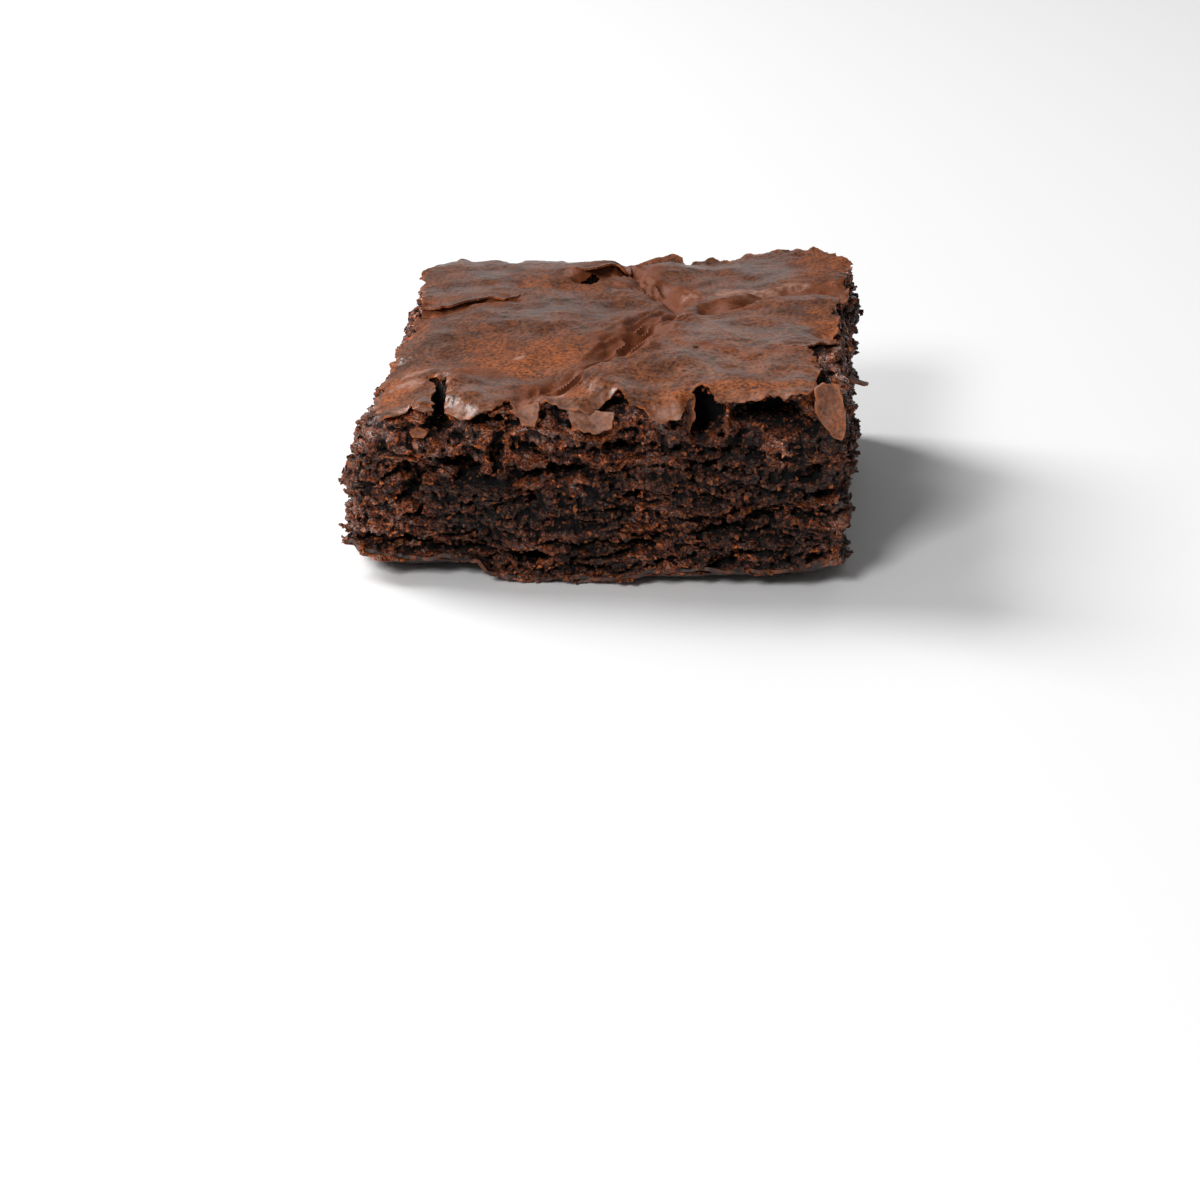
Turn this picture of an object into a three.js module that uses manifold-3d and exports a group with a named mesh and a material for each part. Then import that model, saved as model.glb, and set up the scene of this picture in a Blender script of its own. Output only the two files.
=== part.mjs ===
// A chocolate brownie: one square piece cut from a tray bake, standing on its flat base.
// A papery baked crust, torn into overlapping plates, lies over a dense and crumbly inside.
// Millimetres, +X right, +Y to the back, +Z up. The origin is the centre of the base.
import * as THREE from "three";
import { mergeVertices } from "three/addons/utils/BufferGeometryUtils.js";
import Module from "manifold-3d";

// Driving dimensions
const WIDTH = 68;
const DEPTH = 68;
const HALF_WIDTH = WIDTH / 2;
const HALF_DEPTH = DEPTH / 2;
const CORNER_HEIGHT = { frontLeft: 24.4, frontRight: 29.2, backLeft: 28.4, backRight: 30.0 };
const CRUST_THICKNESS = 0.9;
const CORNER_ROUND = 1.4; // how far a cut corner has crumbled away
const UNDERCUT = 0.9; // how far the crumb stands back under the crust's rim
const SKIN_OVERHANG = 0.8; // how far the firm skin of the base stands out
const GRID = 1.5; // length of a facet
const ROWS = 16; // facet rows down each cut side
const BASE_CUT = 0.8; // depth of the rough lower face that the flat base cuts off
const BLACK_BROWN = 0x2a1510;

// Smooth steps and random noise
const clamp01 = (t) => Math.min(1, Math.max(0, t));

function smooth(low, high, value) {
  const t = clamp01((value - low) / (high - low));
  return t * t * (3 - 2 * t);
}

// A fixed random number from 0 to 1 for each cell of a grid.
function cellValue(i, j, k, seed) {
  let h = Math.imul(i, 374761393) ^ Math.imul(j, 668265263);
  h ^= Math.imul(k, 1274126177) ^ Math.imul(seed, 974711);
  h = Math.imul(h ^ (h >>> 13), 1103515245);
  h ^= h >>> 16;
  return (h >>> 0) / 4294967296;
}

// Smooth noise from -1 to 1 that has one bump in each cell.
function noise(x, y, z, seed) {
  const [i, j, k] = [Math.floor(x), Math.floor(y), Math.floor(z)];
  const ease = (t) => t * t * (3 - 2 * t);
  const [u, v, w] = [ease(x - i), ease(y - j), ease(z - k)];
  let sum = 0;
  for (const [a, fa] of [[0, 1 - u], [1, u]])
    for (const [b, fb] of [[0, 1 - v], [1, v]])
      for (const [c, fc] of [[0, 1 - w], [1, w]])
        sum += fa * fb * fc * cellValue(i + a, j + b, k + c, seed);
  return 2 * sum - 1;
}

// Reads a list of [place, value] keys at any place between them.
function along(keys, place) {
  if (place <= keys[0][0]) return keys[0][1];
  for (let n = 1; n < keys.length; n++) {
    const [start, from] = keys[n - 1];
    const [end, to] = keys[n];
    if (place <= end) return from + (to - from) * smooth(start, end, place);
  }
  return keys[keys.length - 1][1];
}

// Folds, where one plate of crust rides over the next.
// Each runs through plan points. The plate on its high side, 1 for left or -1 for right of the run,
// is lifted over reach millimetres, and the fold itself is a groove of its depth and width.
const FOLDS = [
  // between the back plates and the middle left plate
  { run: [[-38, 7], [-24, 7.3], [-19, 8.4], [-13, 10]], high: 1, lift: 0.8, reach: 5, depth: 0.8, width: 1.5 },
  // lip of the back plate over a hollow
  { run: [[-9, 18], [-5.6, 20.3], [-1.7, 24.5], [3, 26.5]], high: 1, lift: 1.7, reach: 4, depth: 1.1, width: 1.6 },
  // slanting valley at the back, right of the middle
  { run: [[-1, 30], [3.4, 19], [8, 11], [10.5, 5.5]], high: 1, lift: 0.9, reach: 5, depth: 1.5, width: 2.1 },
  // valley in front of the back right plate
  {
    run: [[10.6, 5], [17, 6], [21.3, 11], [27.2, 14.5], [38, 11]],
    high: -1, lift: 0.5, reach: 4, depth: 1.7, width: 2.2,
  },
  // main valley, from the middle to the front edge
  {
    run: [[10.4, 7], [5.1, -1.3], [3, -10], [0, -19], [-7.2, -30]],
    high: 1, lift: 0.8, reach: 5, depth: 1.7, width: 2.6,
  },
  // back edge of the large front right plate
  {
    run: [[-4, -29], [1.3, -22.4], [6.9, -16.4], [12.2, -13.2], [21.5, -16.6], [36, -21]],
    high: -1, lift: 1.4, reach: 7, depth: 0.4, width: 1.2,
  },
  // front edge of the middle left plate
  { run: [[9, 3], [3.6, -4], [-1.4, -6.4], [-0.6, -16]], high: -1, lift: 0.5, reach: 4, depth: 0.3, width: 1.2 },
  // ridge of the front middle plate
  {
    run: [[-4.8, -21], [-9.1, -27.3], [-10.5, -31], [-8.6, -38]],
    high: 1, lift: 1.0, reach: 5, depth: 0.8, width: 1.8,
  },
  // fold across the front left plate
  { run: [[-24, -23], [-18.9, -20.8], [-12, -19]], high: -1, lift: 0.6, reach: 3, depth: 0.2, width: 1.2 },
];

// How far the crust sinks along the back edge, as [place, fall] keys.
const BACK_SAG = [
  [-34, 1.5], [-26, 0.8], [-24.3, 1.4], [-20.8, 0.4], [-17.8, 1.3], [-16.4, -0.4], [-10.8, 0], [-9, 1.3],
  [-5, 1.9], [0, 1.9], [8, 1.6], [12.4, 1.3], [17.6, 0.7], [21, 0.3], [34, 0.1],
];

// Open cracks and torn holes through the crust, as a run of plan points and the width of the opening.
const CRACKS = [
  { run: [[-26, -9.5], [-24.4, -14], [-24.9, -18], [-22.3, -24], [-22.2, -28], [-20.6, -38]], width: 1.3 },
  { run: [[-6.8, 18.8], [-3.6, 21.6], [0.5, 25]], width: 1.4 },
  { run: [[24.8, -13.2], [28.5, -14.8], [32, -15.6]], width: 2.2 },
  { run: [[-30, 6.4], [-27, 6.4]], width: 0.9 },
  { run: [[31, -25], [30.2, -29.5]], width: 1.6 },
];
const CRACK_DEPTH = 2.6;

// Edge of the crust, as [place along the side, distance in from the side's plane] keys.
const CRUST_EDGE = {
  front: [
    [-34, 1.2], [-30, 0.2], [-25.6, 1.3], [-23.4, -0.5], [-20.5, 0.8], [-17, -0.4], [-14.6, 0.2], [-12.2, 2.8],
    [-10.2, 0.2], [-5, -0.2], [-1.5, 0.2], [2.7, 2.8], [5, 0.4], [8.6, -0.9], [11.2, -0.5], [13.4, 4.6],
    [14.9, 4.3], [17, 0.2], [22, -0.3], [28.5, -0.2], [30.4, 2.6], [34, 3],
  ],
  back: [
    [-34, 4], [-29, 2], [-25, 0.9], [-22.6, 2.6], [-20.4, 0.8], [-16.9, 3.2], [-13.4, 0.6], [-9, 1.2], [-3, 2.6],
    [0.8, 2.4], [2.4, -0.3], [7, -0.2], [8.8, 2], [14, 1.2], [22, 0.3], [29, -0.2], [34, 2],
  ],
  left: [[-34, 2.4], [-22, 2.2], [-8, 2.8], [0, 3.9], [12, 3.4], [20, 2.6], [25, 1.4], [34, 3]],
  right: [
    [-34, 1], [-27, 2], [-20.5, 4.6], [-13, 5], [-10.6, 2.4], [-3, 1.2], [5, 2.2], [10, 1.8], [16, 0.3],
    [27, 0.2], [34, 1.4],
  ],
};
const CRUST_TEAR = 0.7; // size of the small tears along the edge

// Hollows in the cut sides, just under the crust or as fissures between layers:
// place along the side, height, half length, half height and depth.
const HOLLOWS = {
  front: [
    [-21.4, 22.2, 2.0, 1.0, 3.2], [-14, 23.4, 4.5, 1.1, 2.4], [-10.5, 20, 2.2, 1.8, 2.2],
    [14.2, 24.6, 2.3, 3.0, 6.2], [24, 25.6, 5.2, 1.4, 5.0], [2.5, 26, 4.0, 0.8, 2.4],
    [-23, 16.2, 8, 0.8, 1.8], [0.5, 16.4, 6.5, 1.2, 2.0], [15, 20.2, 9, 0.7, 1.4], [17, 9.4, 5, 0.9, 2.2],
    [25.5, 12, 7, 0.7, 1.6], [-25, 12, 3.4, 2.2, 1.6], [-26, 5.6, 9, 0.8, 2.2], [-4, 6.2, 3.0, 0.9, 2.0],
  ],
  back: [[-16, 24, 6, 1.1, 2.6], [10, 16.8, 9, 0.9, 1.8], [-6, 9.8, 8, 0.9, 2], [20, 25, 5, 1.2, 3]],
  left: [[-18, 18.4, 6, 1.2, 1.8], [8, 22.4, 7, 1.3, 2.4], [20, 11.8, 7, 1, 1.8], [-6, 8.8, 7, 0.9, 1.8]],
  right: [[-16, 24, 5, 1.6, 2.6], [-4, 15.8, 8, 1, 2], [14, 20.8, 7, 1.1, 2.2], [20, 9.8, 7, 0.9, 1.8]],
};

// Lean of each cut side: how far it stands in from its plane at the base and at the top.
const LEAN = {
  front: [0.5, 0.5],
  back: [0.6, 1.4],
  left: [0.2, 2.4],
  right: [0.2, 0.6],
};

// How far each side's crumb bulges out at half height, as [place along the side, bulge] keys.
const BULGE = {
  front: [[-34, 0.3], [34, 0.3]],
  back: [[-34, 0.4], [34, 0.6]],
  left: [[-34, 2.4], [-24, 1.8], [-8, 0.6], [34, 0.6]],
  right: [[-34, 1.5], [34, 1.8]],
};

// How far the front edge of the base stands off the surface below, as [place, rise] keys.
const FRONT_RISE = [
  [-34, 4.0], [-32.6, 2.6], [-26.6, 1.9], [-21.4, 2.3], [-16.4, 2.8], [-14.6, 0.6], [-12, -0.2], [-8, -0.5],
  [3, 0.1], [8, 1.0], [23, 1.7], [28.5, 2.6], [34, 3.4],
];

// Loose flakes of crust that cling to the piece: centre, width, height, and turns about X, Y and Z.
const FLAKE_THICKNESS = 1.2;
const FLAKES = [
  { at: [32.2, -33.2, 25.6], size: [3.9, 8.8], turn: [80, -7, 6] }, // hangs on the front right corner
  { at: [-8.9, -34.4, 24.4], size: [3.8, 3.0], turn: [58, -18, 0] }, // tongue below the front edge
  { at: [0.1, -34.0, 23.2], size: [6.6, 3.2], turn: [52, 4, 0] }, // lies on a ledge of the front
  { at: [4.6, 33.0, 28.0], size: [6.4, 3.0], turn: [60, 4, 0] }, // turned up at the back edge
  { at: [35.2, -6.0, 22.0], size: [4.4, 2.8], turn: [8, 24, 30] }, // sticks out on the right
];

// Distance to a run of plan points: how far, on which side, and how far from its nearer end.
function nearRun(run, x, y) {
  let best = { distance: Infinity, side: 1, walked: 0 };
  let length = 0;
  for (let n = 1; n < run.length; n++) {
    const [ax, ay] = run[n - 1];
    const [dx, dy] = [run[n][0] - ax, run[n][1] - ay];
    const span = Math.hypot(dx, dy);
    const t = clamp01(((x - ax) * dx + (y - ay) * dy) / (span * span));
    const distance = Math.hypot(x - ax - t * dx, y - ay - t * dy);
    if (distance < best.distance) {
      const side = Math.sign(dx * (y - ay) - dy * (x - ax)) || 1;
      best = { distance, side, walked: length + t * span };
    }
    length += span;
  }
  return { ...best, fromEnd: Math.min(best.walked, length - best.walked) };
}

// Height of the crust's upper face above the base, without its cracks.
function topHeight(x, y) {
  const u = (x + HALF_WIDTH) / WIDTH;
  const v = (y + HALF_DEPTH) / DEPTH;
  const front = CORNER_HEIGHT.frontLeft * (1 - u) + CORNER_HEIGHT.frontRight * u;
  const back = CORNER_HEIGHT.backLeft * (1 - u) + CORNER_HEIGHT.backRight * u;
  let z = front * (1 - v) + back * v;
  z += 0.8 * noise(x / 17, y / 17, 0, 3) + 0.35 * noise(x / 7, y / 7, 0, 4);
  const leftDroop = smooth(-24, -35, x) * (1.2 + 1.6 * smooth(2, -20, y));
  const rearDroop = 0.9 * smooth(24, 35, y) * smooth(6, -6, x);
  z -= leftDroop + rearDroop + along(BACK_SAG, x) * smooth(24, 34, y);
  for (const { run, high, lift, reach, depth, width } of FOLDS) {
    const { distance, side, fromEnd } = nearRun(run, x, y);
    const shown = smooth(0, 3, fromEnd);
    const risen = smooth(-0.5, 0.7, high * side * distance);
    z += shown * lift * risen * Math.exp(-distance / reach);
    z -= shown * depth * Math.exp(-((distance / width) ** 2));
  }
  return z;
}

// How far an open crack has sunk the crust.
function crackDepth(x, y) {
  let sunk = 0;
  for (const { run, width } of CRACKS) {
    const { distance } = nearRun(run, x, y);
    sunk = Math.max(sunk, CRACK_DEPTH * smooth(width, 0.4 * width, distance));
  }
  return sunk;
}

const SIDE_SEED = { front: 11, back: 12, left: 13, right: 14 };

// Distance in from a side's plane to the torn edge of the crust.
function crustInset(side, place) {
  return along(CRUST_EDGE[side], place) + CRUST_TEAR * noise(place / 2.6, 0, 0, SIDE_SEED[side]);
}

// Distance in from a side's plane to its crumb, at a height above the surface below and above the base.
function crumbInset(side, place, z, aboveBase) {
  const [low, high] = LEAN[side];
  const seed = SIDE_SEED[side];
  let inset = low + (high - low) * smooth(0, 28, z);
  inset -= along(BULGE[side], place) * smooth(-2, 8, z) * smooth(30, 20, z);
  inset += 0.8 * noise(place / 12, z / 9, 0, seed + 10);
  inset += 0.55 * noise(place / 5, z / 2.4, 0, seed + 20);
  for (const [at, height, halfLength, halfHeight, depth] of HOLLOWS[side]) {
    const spread = ((place - at) / halfLength) ** 2 + ((z - height) / halfHeight) ** 2;
    inset += depth * Math.exp(-(spread ** 1.5));
  }
  return inset - SKIN_OVERHANG * smooth(1.8, 0.9, aboveBase);
}

// Height of the lower face: it rises towards the front edge, and its rim is worn all round.
function baseHeight(x, y) {
  const rise = along(FRONT_RISE, x) * smooth(-20, -34, y);
  const rim = Math.max(Math.abs(x) / HALF_WIDTH, Math.abs(y) / HALF_DEPTH);
  const worn = (1.3 + 0.5 * noise(x / 6, y / 6, 0, 7)) * smooth(0.84, 1, rim);
  return rise + worn - BASE_CUT;
}

// Height of a row of facets down a side: the crust's rim, its underside, then even rows of crumb.
function rowHeight(row, top, base) {
  if (row <= 1) return top - CRUST_THICKNESS * row;
  const highest = top - CRUST_THICKNESS - 0.4;
  return highest - ((highest - base) * (row - 2)) / (ROWS - 2);
}

// Moves a point of a plain block, of which row counts down from the top, to the real surface.
function shapePoint(blockX, blockY, row) {
  const base = baseHeight(blockX, blockY);
  const z = rowHeight(row, topHeight(blockX, blockY), base);
  const inset = (side, place) => {
    if (row <= 1) return crustInset(side, place);
    return crumbInset(side, place, z, z - base) + (row === 2 ? UNDERCUT : 0);
  };
  const rounding = (share) => CORNER_ROUND * share ** 14;
  const [shareX, shareY] = [Math.abs(blockX) / HALF_WIDTH, Math.abs(blockY) / HALF_DEPTH];
  const insetX = inset(blockX < 0 ? "left" : "right", blockY) + rounding(shareY);
  const insetY = inset(blockY < 0 ? "front" : "back", blockX) + rounding(shareX);
  const x = blockX - Math.sign(blockX) * insetX * smooth(0.7, 1, shareX);
  const y = blockY - Math.sign(blockY) * insetY * smooth(0.7, 1, shareY);
  if (row === 0) return [x, y, topHeight(x, y) - crackDepth(x, y)];
  if (row === 1) return [x, y, topHeight(x, y) - CRUST_THICKNESS];
  if (row === ROWS) return [x, y, baseHeight(x, y)];
  return [x, y, z];
}

// The block: a box whose grid of points is moved to the real surface.
function slabGeometry() {
  const across = Math.round(WIDTH / GRID);
  const back = Math.round(DEPTH / GRID);
  const box = new THREE.BoxGeometry(WIDTH, DEPTH, ROWS, across, back, ROWS);
  const points = box.getAttribute("position");
  for (let n = 0; n < points.count; n++) {
    const row = Math.round(ROWS / 2 - points.getZ(n));
    points.setXYZ(n, ...shapePoint(points.getX(n), points.getY(n), row));
  }
  return box;
}

// A flake: a thin plate with an uneven outline, broken off the crust.
function flakeGeometry({ at, size, turn }, index) {
  const outline = [];
  const corners = 7;
  for (let n = 0; n < corners; n++) {
    const angle = (2 * Math.PI * n) / corners;
    const reach = 0.92 + 0.22 * noise(n * 1.7, index, 0, 31);
    outline.push(new THREE.Vector2(
      0.5 * size[0] * reach * Math.cos(angle),
      0.5 * size[1] * reach * Math.sin(angle),
    ));
  }
  const shape = new THREE.ExtrudeGeometry(new THREE.Shape(outline), {
    depth: FLAKE_THICKNESS,
    bevelEnabled: false,
  });
  shape.translate(0, 0, -FLAKE_THICKNESS / 2);
  const turned = new THREE.Euler(...turn.map(THREE.MathUtils.degToRad));
  shape.applyMatrix4(new THREE.Matrix4().makeRotationFromEuler(turned));
  return shape.translate(...at);
}

// Joining and cutting
const wasm = await Module();
wasm.setup();

function solidOf(geometry) {
  const bare = geometry.clone();
  bare.deleteAttribute("normal");
  bare.deleteAttribute("uv");
  const merged = mergeVertices(bare, 1e-4);
  return new wasm.Manifold(new wasm.Mesh({
    numProp: 3,
    vertProperties: new Float32Array(merged.getAttribute("position").array),
    triVerts: new Uint32Array(merged.index.array),
  }));
}

function geometryOf(solid) {
  const mesh = solid.getMesh();
  const geometry = new THREE.BufferGeometry();
  geometry.setAttribute("position", new THREE.BufferAttribute(mesh.vertProperties, 3));
  geometry.setIndex(new THREE.BufferAttribute(mesh.triVerts, 1));
  geometry.computeVertexNormals();
  return geometry;
}

let piece = solidOf(slabGeometry());
FLAKES.forEach((flake, index) => {
  piece = piece.add(solidOf(flakeGeometry(flake, index)));
});
// The flat base: all that reaches below it is cut away.
const BELOW = 20;
const ground = new THREE.BoxGeometry(2 * WIDTH, 2 * DEPTH, BELOW).translate(0, 0, -BELOW / 2);
piece = piece.subtract(solidOf(ground));

const geometry = geometryOf(piece);
geometry.computeBoundingBox();
const centre = geometry.boundingBox.getCenter(new THREE.Vector3());
geometry.translate(-centre.x, -centre.y, 0);

const brownie = new THREE.Mesh(
  geometry,
  new THREE.MeshStandardMaterial({ color: BLACK_BROWN, roughness: 0.8, metalness: 0 }),
);
brownie.name = "brownie";

const model = new THREE.Group();
model.add(brownie);

export default model;
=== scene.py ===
"""A chocolate brownie, dressed for its picture: crumb, crust, clinging flakes and loose grains.

Shapes are worked out in millimetres, from the same named sizes as the solid, and made in metres.
"""
import itertools
import math

import bmesh
import bpy
import numpy as np
from mathutils import Euler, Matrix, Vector


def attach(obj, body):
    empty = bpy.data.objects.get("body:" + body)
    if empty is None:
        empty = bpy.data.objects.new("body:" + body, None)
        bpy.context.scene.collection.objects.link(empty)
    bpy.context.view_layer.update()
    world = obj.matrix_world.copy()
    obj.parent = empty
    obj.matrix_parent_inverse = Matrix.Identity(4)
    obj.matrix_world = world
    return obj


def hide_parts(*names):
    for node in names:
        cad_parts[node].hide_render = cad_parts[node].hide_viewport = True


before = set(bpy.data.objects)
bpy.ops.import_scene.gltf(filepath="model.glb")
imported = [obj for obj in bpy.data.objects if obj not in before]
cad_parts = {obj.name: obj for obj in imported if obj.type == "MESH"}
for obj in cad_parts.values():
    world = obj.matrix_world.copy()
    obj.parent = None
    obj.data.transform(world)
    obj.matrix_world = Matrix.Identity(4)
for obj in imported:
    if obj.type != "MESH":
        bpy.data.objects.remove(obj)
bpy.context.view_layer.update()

# The crumb
# The dense, fudgy inside of the piece, cut with a knife on all four sides. Baked chocolate batter, which
# the knife drags into rough layers near the base and which breaks into open grains under the crust.
MM = 0.001
FAR = 99  # further than anything on the piece
HALF = 34  # half of the distance between two cut sides
PLAN_REACH = 37  # half of the square that the sheets are worked out on
MIDDLE = (0.767, -0.361)  # middle of the outline with its flakes, which the origin lies under
CORNER_HEIGHT = {"front left": 24.4, "front right": 29.2, "back left": 28.4, "back right": 30}
CRUST_THICKNESS = 0.9
CORNER_ROUND = 1.4
UNDERCUT = 0.9
SKIN_OVERHANG = 0.8
BASE_CUT = 0.8
SIDE_SEED = {"front": 11, "back": 12, "left": 13, "right": 14}

# Folds of the crust: run in plan, high side, lift, reach, depth and width of the groove.
FOLDS = [
    ([(-38, 7), (-24, 7.3), (-19, 8.4), (-13, 10)], 1, 0.8, 5, 0.8, 1.5),
    ([(-9, 18), (-5.6, 20.3), (-1.7, 24.5), (3, 26.5)], 1, 1.7, 4, 1.1, 1.6),
    ([(-1, 30), (3.4, 19), (8, 11), (10.5, 5.5)], 1, 0.9, 5, 1.5, 2.1),
    ([(10.6, 5), (17, 6), (21.3, 11), (27.2, 14.5), (38, 11)], -1, 0.5, 4, 1.7, 2.2),
    ([(10.4, 7), (5.1, -1.3), (3, -10), (0, -19), (-7.2, -30)], 1, 0.8, 5, 1.7, 2.6),
    ([(-4, -29), (1.3, -22.4), (6.9, -16.4), (12.2, -13.2), (21.5, -16.6), (36, -21)], -1, 1.4, 7, 0.4, 1.2),
    ([(9, 3), (3.6, -4), (-1.4, -6.4), (-0.6, -16)], -1, 0.5, 4, 0.3, 1.2),
    ([(-4.8, -21), (-9.1, -27.3), (-10.5, -31), (-8.6, -38)], 1, 1, 5, 0.8, 1.8),
    ([(-24, -23), (-18.9, -20.8), (-12, -19)], -1, 0.6, 3, 0.2, 1.2),
]
FOLD_SWAY = 0.7
SWAY_LENGTH = 3.4
SWAY_SEEDS = (8, 9)
# How far the crust sags towards the back edge: place along it and drop.
BACK_SAG = [
    (-34, 1.5), (-26, 0.8), (-24.3, 1.4), (-20.8, 0.4), (-17.8, 1.3), (-16.4, -0.4), (-10.8, 0), (-9, 1.3),
    (-5, 1.9), (0, 1.9), (8, 1.6), (12.4, 1.3), (17.6, 0.7), (21, 0.3), (34, 0.1),
]
# Cracks through the crust: run in plan and width of the opening.
CRACKS = [
    ([(-24.2, -20.8), (-22.3, -24), (-22.2, -28), (-20.6, -38)], 1.3),
    ([(-6.8, 18.8), (-3.6, 21.6), (0.5, 25)], 1.4),
    ([(24.8, -13.2), (28.5, -14.8), (32, -15.6)], 2.2),
    ([(-30, 6.4), (-27, 6.4)], 0.9),
    ([(31, -25), (30.2, -29.5)], 1.6),
]
CRACK_DEPTH = 2.6
# The torn edge of the crust on each side: place along it and how far in from the side's plane.
CRUST_EDGE = {
    "front": [
        (-34, 1.2), (-30, 0.2), (-25.6, 1.3), (-23.4, -0.5), (-20.5, 0.8), (-17, -0.4), (-14.6, 0.2),
        (-12.2, 2.8), (-10.2, 0.2), (-5, -0.2), (-1.5, 0.2), (2.7, 2.8), (5, 0.4), (8.6, -0.9), (11.2, -0.5),
        (13.4, 4.6), (14.9, 4.3), (17, 0.2), (22, -0.3), (28.5, -0.2), (30.4, 2.6), (34, 3),
    ],
    "back": [
        (-34, 4), (-29, 2), (-25, 0.9), (-22.6, 2.6), (-20.4, 0.8), (-16.9, 3.2), (-13.4, 0.6), (-9, 1.2),
        (-3, 2.6), (0.8, 2.4), (2.4, -0.3), (7, -0.2), (8.8, 2), (14, 1.2), (22, 0.3), (29, -0.2), (34, 2),
    ],
    "left": [(-34, 2.4), (-22, 2.2), (-8, 2.8), (0, 3.9), (12, 3.4), (20, 2.6), (25, 1.4), (34, 3)],
    "right": [
        (-34, 1), (-27, 2), (-20.5, 4.6), (-13, 5), (-10.6, 2.4), (-3, 1.2), (5, 2.2), (10, 1.8), (16, 0.3),
        (27, 0.2), (34, 1.4),
    ],
}
CRUST_TEAR = 0.7
# Where the crust bends down over the front: place along it, half width and drop.
DROOPS = [
    (-28.4, 3, 0.9), (-18.8, 2.6, 1.5), (-8.6, 1.6, 1), (-4.6, 2, 0.8), (0.6, 2.2, 1),
    (9.8, 2.7, 2), (20, 3.2, 0.7), (26.4, 2.8, 0.9),
]
DROOP_REACH = 3
ROOF_GAP = 0.62  # crumb below the crust's upper face
# Hollows in the cut sides: place along the side, height, half length, half height and depth.
HOLLOWS = {
    "front": [
        (-21.4, 22.2, 2, 1, 3.2), (-14, 23.4, 4.5, 1.1, 2.4), (-10.5, 20, 2.2, 1.8, 2.2),
        (14.2, 24.6, 2.3, 3, 6.2), (24, 25.6, 5.2, 1.4, 5), (2.5, 26, 4, 0.8, 2.4),
        (-23, 16.2, 8, 0.8, 1.8), (0.5, 16.4, 6.5, 1.2, 2), (15, 20.2, 9, 0.7, 1.4), (17, 9.4, 5, 0.9, 2.2),
        (25.5, 12, 7, 0.7, 1.6), (-25, 12, 3.4, 2.2, 1.6), (-26, 5.6, 9, 0.8, 2.2), (-4, 6.2, 3, 0.9, 2),
    ],
    "back": [(-16, 24, 6, 1.1, 2.6), (10, 16.8, 9, 0.9, 1.8), (-6, 9.8, 8, 0.9, 2), (20, 25, 5, 1.2, 3)],
    "left": [(-18, 18.4, 6, 1.2, 1.8), (8, 22.4, 7, 1.3, 2.4), (20, 11.8, 7, 1, 1.8), (-6, 8.8, 7, 0.9, 1.8)],
    "right": [(-16, 24, 5, 1.6, 2.6), (-4, 15.8, 8, 1, 2), (14, 20.8, 7, 1.1, 2.2), (20, 9.8, 7, 0.9, 1.8)],
}
# Holes with steep walls, listed as the hollows are.
HOLES = {
    "front": [
        (-22, 22.6, 1.6, 1.1, 4), (-16.6, 23.6, 2.8, 0.8, 3.6), (-13.6, 18.9, 1.2, 2.2, 2.8),
        (-19.5, 16.9, 2.2, 0.9, 2.6), (-25.4, 14, 1.2, 1.8, 2.4), (2.1, 20.3, 4.6, 0.6, 2.4),
        (-5.4, 16.2, 3.4, 0.9, 2.8), (14.6, 24.6, 1.9, 2.9, 5.5), (24, 24.7, 4.2, 1.1, 5.5),
        (28.6, 23.9, 1.3, 1, 3.5), (20.8, 23.2, 1.2, 0.6, 2), (14.3, 17.8, 6, 0.45, 2),
        (15.8, 8.6, 2.4, 0.8, 2.4), (-9.6, 3.7, 2.6, 0.9, 3), (30.5, 14.5, 1.8, 0.7, 2),
        (-16, 14.9, 2.2, 0.8, 2.2), (-25, 9, 1.6, 0.7, 1.8), (22.6, 10.8, 1.8, 0.6, 2.2),
        (-24.5, 4.6, 6.5, 0.55, 2.2), (6.5, 13.2, 2.8, 0.5, 1.8), (7, 6.4, 2.4, 0.5, 1.8),
    ],
    "back": [(-24, 20, 2, 1.3, 2.6), (-4, 22, 3, 1, 3), (16, 11, 2.4, 1.1, 2.6), (4, 4.5, 4, 0.7, 2)],
    "left": [(-26, 12, 2, 1.4, 2.4), (-4, 20, 3, 1, 2.8), (16, 6, 4, 0.7, 2), (26, 20, 2, 1.1, 2.4)],
    "right": [(-26, 12, 2.4, 1.1, 2.4), (2, 23, 3.4, 1, 3), (10, 6, 4, 0.7, 2), (26, 17, 2, 1.2, 2.6)],
}
# Clumps of dry crumb on the front cut side: place along it, height and size.
DRY_CLUMPS = [
    (6, 11, 1.6), (20.4, 5.2, 2), (32, 5, 2.4), (33.4, 12, 2.4), (-29, 8.5, 3.6),
    (-10.6, 2, 3), (-15.4, 17.6, 1.8), (-2.6, 14.4, 1.4), (24.6, 21, 2.2), (-27.4, 3.6, 3),
    (11.5, 2.4, 2.2), (2.4, 21.6, 2.6), (7.6, 22, 2.2),
]
# How far in each cut side stands at its base and at its top, and how far it swells.
LEAN = {"front": (0.5, 0.5), "back": (0.6, 1.4), "left": (0.2, 2.4), "right": (1.3, 0.7)}
BULGE = {
    "front": [(-34, 0.3), (34, 0.3)],
    "back": [(-34, 0.4), (34, 0.6)],
    "left": [(-34, 2.4), (-24, 1.8), (-8, 0.6), (34, 0.6)],
    "right": [(-34, 1), (34, 1.6)],
}
# How high the base's front edge stands: place along it and height.
FRONT_RISE = [
    (-34, 4), (-32.6, 2.6), (-26.6, 1.9), (-21.4, 2.3), (-16.4, 2.8), (-14.6, 0.6), (-12, -0.2), (-8, -0.5),
    (3, 0.1), (8, 1), (23, 1.7), (28.5, 2.6), (34, 3.4),
]


def smooth(low, high, value):
    t = np.clip((value - low) / (high - low), 0, 1)
    return t * t * (3 - 2 * t)


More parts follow.
